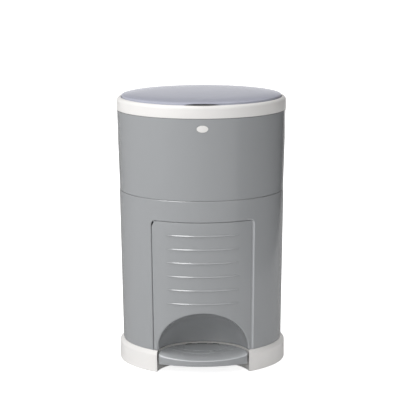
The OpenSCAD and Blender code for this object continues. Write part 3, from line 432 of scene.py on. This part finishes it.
SLOPE = (SEAM_R - FOOT_R) / (SEAM_Z - BASE_H)
LATCH_IN, LATCH_CORNER, HINGE_CORNER = 2.2, 6.3, 14.1
SCOOP_WALL, ARCH_SOFT, DOOR_LIP = 2.5, 3.6, 0.8
SCOOP_ROWS, SOFT_ROWS, PANEL_ROWS, LIP_ROWS = 26, 8, 22, 4
# Reach of a ray from the middle of the door's foot to the arch and to the outline, and the scoop's arc
ARCH_REACH, OUTLINE_REACH, SCOOP_ARC = (40, 140), (60, 400), 120
RIB_LIP, RIB_SAG, RIB_PROUD, RIB_ROOT = -0.3, 1.5, 1.8, 0.5


def body_r(z):
    """Outer radius of the lower body at height z."""
    return FOOT_R + SLOPE * (z - BASE_H)


def on_body(u, z, depth):
    """Point at arc length u and height z on the lower body, depth behind its face."""
    r = body_r(z) - depth
    return r * math.sin(u / SEAM_R), -r * math.cos(u / SEAM_R), z


def on_door(u, z, depth):
    """Point at arc length u and height z on the door, depth behind its face."""
    return Vector(on_body(u, z, DOOR_SINK + depth))


def bisect(f, lo, hi):
    """Where f, which is negative at lo and positive at hi, crosses zero."""
    for _ in range(40):
        mid = (lo + hi) / 2
        lo, hi = (mid, hi) if f(mid) < 0 else (lo, mid)
    return lo


def scoop_unit(point):
    """A point as a vector from the scoop's centre, in units of its half axes."""
    return Vector((point.x / RECESS_R, (point.y + RECESS_Y) / RECESS_R, (point.z - BASE_H) / ARCH_H))


def scoop_point(unit, grow=0.0):
    """The point of the scoop, made larger by grow, in the direction of a unit vector."""
    p = Vector((unit.x * (RECESS_R + grow), unit.y * (RECESS_R + grow) - RECESS_Y,
                unit.z * (ARCH_H + grow) + BASE_H))
    p.z = max(p.z, DOOR_BOT)
    return p


def door_outline(u, z):
    """Signed distance to the door's outline, whose corner is rounder on the hinge side."""
    half = SEAM_R * DOOR_A - (LATCH_IN if u > 0 else 0)
    r = HINGE_CORNER if u < 0 else LATCH_CORNER
    qx, qz = abs(u) - half + r, z - DOOR_TOP + r
    return math.hypot(max(qx, 0), max(qz, 0)) + min(max(qx, qz), 0) - r


def door_meridian(alpha):
    """Outer and inner points of the door on one ray from the middle of its foot."""
    def uz(rho):
        return rho * math.cos(alpha), DOOR_BOT + rho * math.sin(alpha)
    edge = bisect(lambda rho: scoop_unit(on_door(*uz(rho), 0)).length - 1, *ARCH_REACH)
    rim = bisect(lambda rho: door_outline(*uz(rho)), *OUTLINE_REACH)
    soft = min(ARCH_SOFT, (rim - edge) * 0.4)
    corner = on_door(*uz(edge), 0)
    pole = Vector((0, 1, 0))
    start = scoop_unit(corner).normalized()
    outer, inner = [], []
    back = 1 - soft / SCOOP_ARC
    for i in range(SCOOP_ROWS + 1):
        unit = pole.slerp(start, back * i / SCOOP_ROWS) if i else pole
        outer.append(scoop_point(unit))
        inner.append(scoop_point(unit, SCOOP_WALL))
    beyond = on_door(*uz(edge + soft), 0)
    beyond_in = on_door(*uz(edge + soft), DOOR_T)
    for i in range(1, SOFT_ROWS):
        f = i / SOFT_ROWS
        outer.append(outer[SCOOP_ROWS].lerp(corner, f).lerp(corner.lerp(beyond, f), f))
        inner.append(inner[SCOOP_ROWS].lerp(beyond_in, f))
    for i in range(PANEL_ROWS + 1):
        rho = edge + soft + (rim - DOOR_LIP - edge - soft) * i / PANEL_ROWS
        outer.append(on_door(*uz(rho), 0))
        inner.append(on_door(*uz(rho), DOOR_T))
    for i in range(1, LIP_ROWS + 1):
        t = math.pi / 2 * i / LIP_ROWS
        rho = rim - DOOR_LIP + DOOR_LIP * math.sin(t)
        outer.append(on_door(*uz(rho), DOOR_LIP - DOOR_LIP * math.cos(t)))
        inner.append(on_door(*uz(rho), DOOR_T))
    return outer, inner


def door_panel():
    """The door with its foot scoop as one closed skin, with soft edges round the arch and the outline."""
    rays, fan, fan_rays = 240, math.radians(4), 16
    angles = {math.pi * i / rays for i in range(rays + 1)}
    for side in (1, -1):
        corner = math.atan2(DOOR_TOP - 6 - DOOR_BOT, side * (SEAM_R * DOOR_A - 4))
        angles |= {corner + fan * i / fan_rays for i in range(-fan_rays, fan_rays + 1)}
    verts, faces = [], []
    meridians = [door_meridian(a) for a in sorted(angles)]
    for outer, inner in meridians:
        verts += outer + inner[::-1]
    step = len(meridians[0][0]) * 2
    last = len(meridians) - 1
    for m in range(last):
        for i in range(step - 1):
            a, b = m * step + i, (m + 1) * step + i
            faces.append((a, a + 1, b + 1, b))
    for base in (0, last * step):
        for i in range(step // 2 - 1):
            j = step - 1 - i
            faces.append((base + i, base + i + 1, base + j - 1, base + j))
    return mesh_piece("door_panel", verts, faces, BODY, 50)


def door_rib(index):
    """One lens-shaped louvre: it swells out from its top edge and turns back sharply under its lower lip."""
    z = RIB_Z + index * RIB_PITCH
    cols, rows, least, sunk = 72, 20, 0.02, 0.02
    loops = []
    for c in range(cols + 1):
        u = RIB_X * math.sin(math.pi * (c / cols - 0.5))
        h = max(least, RIB_SAG * max(0, 1 - abs(u / RIB_X) ** 4) ** 0.7)
        gain = RIB_PROUD * math.sqrt(h / RIB_SAG)
        loop = []
        for k in range(rows + 1):
            f = 1 - 2 * k / rows
            under = math.sqrt(max(0, 1 - ((f - RIB_LIP) / (1 + RIB_LIP)) ** 2))
            rise = (1 - f) / (1 - RIB_LIP) if f > RIB_LIP else under
            loop.append(on_door(u, z + f * h, -gain * rise + sunk))
        loop += [on_door(u, z - h, RIB_ROOT), on_door(u, z + h, RIB_ROOT)]
        loops.append(loop)
    return loft("door_rib_%d" % (index + 1), loops, BODY, 35)


def door_stiffener(name, azimuth):
    """Upright web inside the door, run out at both ends and filleted into the panel."""
    low, high, deep, shallow, run_out, rows = 144.0, 284.0, 8.0, 3.4, 14, 48
    out = Vector((math.sin(azimuth), -math.cos(azimuth), 0))
    along = Vector((math.cos(azimuth), math.sin(azimuth), 0))
    loops = []
    for i in range(rows + 1):
        z = low + (high - low) * i / rows
        run = min(1, min(z - low, high - z) / run_out)
        d = shallow + (deep - shallow) * run * run * (3 - 2 * run)
        half = [(2.0, 2.5), (1.3, 2.8), (1.0, 3.2), (0.8, d - 0.3), (0.5, d)]
        section = [(-t, depth) for t, depth in half] + half[::-1]
        loops.append([out * (body_r(z) - DOOR_SINK - depth) + along * t + Vector((0, 0, z))
                      for t, depth in section])
    return loft(name, loops, BODY, 35)


DOOR_AXIS = Vector((-0.00972, -0.013677, 0.999859))
AXIS_FOOT = Vector((-86.198, -121.29, 41))
PIN_R, BARREL_R = 2, 3.6
lean = Vector((0, 0, 1)).rotation_difference(DOOR_AXIS).to_matrix()

panel = door_panel()
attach(panel, "door")
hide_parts("front_door")
for index in range(RIB_N):
    rib = door_rib(index)
    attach(rib, "door")
for name, low, high in (("door_barrel_low", 1.5, 19.5), ("door_barrel_high", 233, 250.4)):
    profile = rounded([(PIN_R, low, 0.3), (BARREL_R, low, 0.5), (BARREL_R, high, 0.5), (PIN_R, high, 0.3)])
    barrel = turned(name, profile, BODY, AXIS_FOOT, lean, 48, 35)
    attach(barrel, "door")
for name, side in (("door_stiffener_left", -1), ("door_stiffener_right", 1)):
    web = door_stiffener(name, side * math.radians(25))
    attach(web, "door")

# ---------------------------------------------------------------- latch jamb

JAMB_CORNER, JAMB_TOE, JAMB_BACK, JAMB_ON = 8.5, 1.25, 3.2, 6
JAMB_RISE = DOOR_TOP - JAMB_CORNER - BASE_H


def jamb_point(s, d):
    """Arc length and height at distance s along the latch side of the door opening, moved out by d."""
    half, r = SEAM_R * DOOR_A, JAMB_CORNER
    if s <= JAMB_RISE:
        return half + d, BASE_H + s
    t = (s - JAMB_RISE) / r
    if t <= math.pi / 2:
        return half - r + (r + d) * math.cos(t), DOOR_TOP - r + (r + d) * math.sin(t)
    return half - r - (s - JAMB_RISE - r * math.pi / 2), DOOR_TOP + d


def latch_jamb():
    """Bevelled edge of the body beside the door's latch edge and round its top corner, coloured with the
    lighter plastic as a painted highlight.
    """
    length = JAMB_RISE + JAMB_CORNER * math.pi / 2 + JAMB_ON
    rows, loops = 120, []
    for i in range(rows + 1):
        s = length * i / rows
        turn = max(0, s - JAMB_RISE) / JAMB_CORNER
        toe = JAMB_TOE - (LATCH_IN + 0.1) * math.cos(min(turn, math.pi / 2))
        section = [(toe, JAMB_BACK), (toe + 0.1, 2.6), (2.1, -0.05), (2.9, -0.02), (3.2, 0.6),
                   (3.2, JAMB_BACK)]
        loops.append([on_body(*jamb_point(s, d), depth) for d, depth in section])
    return loft("latch_jamb", loops, PAINTED_HIGHLIGHT, 30)


jamb = latch_jamb()
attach(jamb, "base")

# ---------------------------------------------------------------- spring

SPRING_TOP, SPRING_LEN, SPRING_TRAVEL = 291.5, 48.0, 17.65
COIL_R, WIRE, TURNS, ROD_Y = 6.2, 1.4, 8, 137


def coil(name, z0, z1, material):
    """A compression spring with a closed and ground turn at each end."""
    per, sides, loops = 40, 12, []
    span = z1 - z0 - WIRE
    for i in range(TURNS * per + 1):
        t = i / per
        closed = min(t, 1) + max(t - TURNS + 1, 0)
        free = min(max((t - 1) / (TURNS - 2), 0), 1)
        z = z0 + WIRE / 2 + closed * WIRE + free * (span - 2 * WIRE)
        a = 2 * math.pi * t
        out = Vector((math.cos(a), math.sin(a), 0))
        mid = Vector((0, ROD_Y, z)) + out * COIL_R
        ring = [2 * math.pi * k / sides for k in range(sides)]
        loops.append([mid + out * (WIRE / 2 * math.cos(b)) + Vector((0, 0, WIRE / 2 * math.sin(b)))
                      for b in ring])
    return loft(name, loops, material, 60)


spring = coil("spring_wire", SPRING_TOP - SPRING_LEN, SPRING_TOP, STEEL)
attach(spring, "lower_rod")
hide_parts("return_spring")
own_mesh(spring)

# ---------------------------------------------------------------- badge

BADGE_Z, BADGE_W, BADGE_H = 469.0, 21.5, 13.0
# Each ring's share of the half width, and how far it stands off the body
BADGE_RINGS = [(0, 0.78), (0.3, 0.77), (0.55, 0.73), (0.74, 0.67), (0.8, 0.62), (0.83, 0.55), (0.86, 0.62),
               (0.9, 0.74), (0.94, 0.74), (0.975, 0.6), (0.995, 0.35), (1, 0.1), (1, -0.35)]


def on_upper(u, z, proud):
    """Point at arc length u and height z on the upper body, standing off it by proud."""
    r = SEAM_R + (NECK_R - SEAM_R) * (z - SEAM_Z) / (RIM_Z - SEAM_Z) + proud
    return Vector((r * math.sin(u / NECK_R), -r * math.cos(u / NECK_R), z))


def badge_shield():
    """Bare oval with a rolled edge and a face that is slightly crowned inside a fine groove."""
    sides = 96
    around = [2 * math.pi * k / sides for k in range(sides)]
    loops = [[on_upper(f * BADGE_W / 2 * math.cos(a), BADGE_Z + f * BADGE_H / 2 * math.sin(a), proud)
              for a in around] for f, proud in BADGE_RINGS]
    return loft("badge_shield", loops, WHITE, 60, start_cap=False)


shield = badge_shield()
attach(shield, "top_unit")
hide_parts("badge")

# ---------------------------------------------------------------- tread

FRONT_R, BACK_R = 158.0, 85.4
TREAD_Z, TREAD_DISH, TREAD_REAR, TREAD_FOOT = 28.0, 1700, 39.2, 16.8
TREAD_WALL, TREAD_DEEP, SLOT_X, SLOT_DROP = 2.6, 3, 35, 1.3
# RIDGE_LIT is the width of the band in front of each ridge crest that gets the painted highlight
RIDGES, RIDGE_H, RIDGE_HALF, RIDGE_LIT, RIDGE_FADE = (118, 104), 1.3, 1.6, 1.5, 4
FRONT_ROUND, REAR_ROUND, TIP = 1.7, 0.8, 0.9995
# Least height and least upward slope of the faces of the front edge that get the painted highlight, and of the
# top faces that get painted light
LIT_EDGE, TOP_FACE = (26, 0.3), (27, 0.8)
EDGE_STEPS = (0, 0.06, 0.2, 0.45, 0.8, 1.3, 1.9, 2.6, 3.2)


def tread_top(x, y, soft=True):
    """Height of the tread: it rises from its dished front edge, with ridges that follow that edge."""
    r, back = math.hypot(x, y), math.hypot(x, y + RECESS_Y)
    ahead, behind = max(0, FRONT_R - r), max(0, BACK_R - back)
    z = TREAD_Z + x * x / TREAD_DISH
    rear = TREAD_REAR - (SLOT_DROP if abs(x) < SLOT_X else 0)
    z += (rear - z) * ahead / max(0.01, ahead + behind)
    if soft:
        for ridge in RIDGES:
            crest = math.sqrt(max(0, 1 - ((r - ridge) / RIDGE_HALF) ** 2))
            z += RIDGE_H * crest * min(1, behind / RIDGE_FADE)
        for into, round_r in ((ahead, FRONT_ROUND), (behind, REAR_ROUND)):
            z -= round_r - math.sqrt(max(0, round_r ** 2 - (round_r - min(round_r, into)) ** 2))
    return z


def tread_column(x, shrink, rows):
    """Front to rear points of the tread along one line of x, closer together at both edges."""
    front = -math.sqrt((FRONT_R - shrink) ** 2 - x * x)
    rear = max(front + 0.02, math.sqrt(max(0, (BACK_R - shrink) ** 2 - x * x)) - RECESS_Y)
    span = rear - front
    lead = [f for f in EDGE_STEPS if f < span * 0.3]
    lead += [span * 0.3] * (len(EDGE_STEPS) - len(lead))
    ys = [front + f for f in lead]
    ys += [front + lead[-1] + (span - 2 * lead[-1]) * i / rows for i in range(1, rows)]
    ys += [rear - f for f in reversed(lead)]
    return ys


def tread_reach(shrink):
    """Half width of the tread's plan where its front and rear arcs cross."""
    a, b = FRONT_R - shrink, BACK_R - shrink
    y = (a * a + RECESS_Y ** 2 - b * b) / (2 * RECESS_Y)
    return math.sqrt(a * a - y * y)


def tread_pad():
    """Hollow foot tread with a rounded edge and raised ridges, with painted light on its top and a painted
    highlight on its front edge and ridge flanks.
    """
    cols, rows, rows_in = 110, 130, 12
    loops = []
    for c in range(cols + 1):
        t = math.sin(math.pi * (c / cols - 0.5))
        x, xi = tread_reach(0) * t * TIP, tread_reach(TREAD_WALL) * t * TIP
        ys, yi = tread_column(x, 0, rows), tread_column(xi, TREAD_WALL, rows_in)
        loop = [(x, ys[0], TREAD_FOOT)]
        loop += [(x, y, tread_top(x, y)) for y in ys]
        loop += [(x, ys[-1], TREAD_FOOT), (xi, yi[-1], TREAD_FOOT)]
        loop += [(xi, y, tread_top(xi, y, False) - TREAD_DEEP) for y in reversed(yi)]
        loop += [(xi, yi[0], TREAD_FOOT)]
        loops.append(loop)
    obj = loft("tread_pad", loops, BODY, 40)
    # Slot 1 is painted light on the upward faces, slot 2 a painted highlight on the front edge and the ridges'
    # front flanks
    obj.data.materials.append(PAINTED_LIGHT_TOP)
    obj.data.materials.append(PAINTED_HIGHLIGHT)
    for face in obj.data.polygons:
        x, y, z = (c / MM for c in face.center)
        r = math.hypot(x, y)
        up = face.normal.z
        if z > LIT_EDGE[0] and up > LIT_EDGE[1] and 0 < FRONT_R - r < FRONT_ROUND:
            face.material_index = 2
        elif z > TOP_FACE[0] and up > TOP_FACE[1]:
            face.material_index = 2 if any(0 < r - ridge < RIDGE_LIT for ridge in RIDGES) else 1
    return obj


pad = tread_pad()
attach(pad, "pedal")
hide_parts("pedal_tread")

# ---------------------------------------------------------------- lid and rim

RIM_R, RIM_TOP, SHOULDER, RIM_IN = 163.0, 512.0, 7.0, 154.6
RIM_LOW, RIM_UNDER, LEDGE, ROOT_Z = 488.3, 491, 4, 488
DECK_Z, SEAT_Z = 494.0, 502.0
LID_R, LID_TOP, LID_WALL, SKIRT_Z, LID_T = 153.2, 519.2, 515.4, 505.0, 2.0
CROWN_FLAT, CROWN_TURN, CROWN_SAG = 9, 0.62, 0.32
MOUTH_X, MOUTH_H, MOUTH_SIDE, MOUTH_SKIRT, SCOOP_DEEP = 35.0, 3.2, 4, 3, 5
NOTCH, NOTCH_Z = math.radians(22), 511.1
POCKET, POCKET_R, POCKET_TOP = math.radians(27), 160.3, 508.0
CHAMFER, BEVEL, NICK = 0.2, 0.5, 0.3
# The rim's thinnest wall, the start of the finger opening below the rim's top, the least step in the lid
WALL, LAP, STEP = 0.6, 0.4, 0.25


def at_back(a, half):
    """Whether azimuth a lies within half of the middle of the back."""
    return math.cos(a) < 0 and abs(math.sin(a)) < math.sin(half)


def lid_crown(r):
    """Height of the lid's upper face: nearly flat, and turned down to its wall near the edge."""
    turn = max(0, 1 - (min(r, LID_R) / LID_R) ** CROWN_FLAT) ** CROWN_TURN
    return LID_WALL + (LID_TOP - LID_WALL) * turn * (1 - CROWN_SAG * (r / LID_R) ** 2)


def lid_low(a):
    """Height of the lid's lower edge: it arches up at the finger opening, and clears the hinge at the back."""
    x = LID_R * math.sin(a)
    if at_back(a, NOTCH):
        return NOTCH_Z
    if math.cos(a) > 0 and abs(x) < MOUTH_X:
        return RIM_TOP - LAP + MOUTH_H * max(0, 1 - (x / MOUTH_X) ** 2) ** 0.8
    return SKIRT_Z if math.cos(a) < 0 or abs(x) > MOUTH_X + MOUTH_SIDE else SKIRT_Z + MOUTH_SKIRT


def lid_section(a):
    """Closed profile of the lid at azimuth a from the front, from the middle of its top face outwards."""
    low, steps, steps_in = lid_low(a), 40, 30
    points = []
    for i in range(1, steps + 1):
        r = LID_R * math.sin(math.pi / 2 * i / steps)
        points.append((r, lid_crown(r)))
    inner = LID_R - LID_T
    points += [(LID_R, low + CHAMFER), (LID_R - CHAMFER, low), (inner + CHAMFER, low), (inner, low + CHAMFER)]
    for i in range(steps_in, 0, -1):
        r = inner * math.sin(math.pi / 2 * i / steps_in)
        least = low + STEP if i > steps_in - 2 else 0
        points.append((r, max(lid_crown(r * LID_R / inner) - LID_T, least)))
    return points


def rim_section(a):
    """Closed profile of the rim at azimuth a from the front, with a finger scoop there and a pocket behind."""
    inner, seat, steps = RIM_IN, DECK_Z, 16
    points = [(NECK_R - 1, RIM_LOW), (RIM_R - 0.4, RIM_LOW), (RIM_R, RIM_LOW + BEVEL)]
    for i in range(steps + 1):
        t = math.pi / 2 * i / steps
        points.append((RIM_R - SHOULDER + SHOULDER * math.cos(t), RIM_TOP - SHOULDER + SHOULDER * math.sin(t)))
    if at_back(a, POCKET):
        inner = POCKET_R
        points = [(max(r, inner + WALL), min(z, POCKET_TOP)) for r, z in points]
    x = inner * math.sin(a)
    if math.cos(a) > 0 and abs(x) < MOUTH_X:
        inner += SCOOP_DEEP * max(0, 1 - (x / MOUTH_X) ** 2)
        seat = SEAT_Z
        points = [(max(r, inner + WALL), z) for r, z in points]
    top = points[-1][1]
    ledge = RIM_IN - LEDGE
    points += [(inner + BEVEL, top), (inner, top - BEVEL), (inner, seat + NICK), (inner - NICK, seat),
               (ledge + NICK, DECK_Z), (ledge, DECK_Z - NICK), (ledge, RIM_UNDER),
               (NECK_R - 4, ROOT_Z), (NECK_R - 2.5, RIM_UNDER), (NECK_R - 1, RIM_UNDER)]
    return points


lid = lathe("lid_dome", lid_section, azimuths(240, 158, 202), LID, 30, (LID_TOP, LID_TOP - LID_T))
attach(lid, "lid")
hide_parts("lid_shell")
band = lathe("rim_band", rim_section, azimuths(360, 153, 207), WHITE, 30)
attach(band, "top_unit")
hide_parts("top_rim")

# ---------------------------------------------------------------- close

for cad in nodes.values():
    shade(cad, CAD_SMOOTH_DEG)
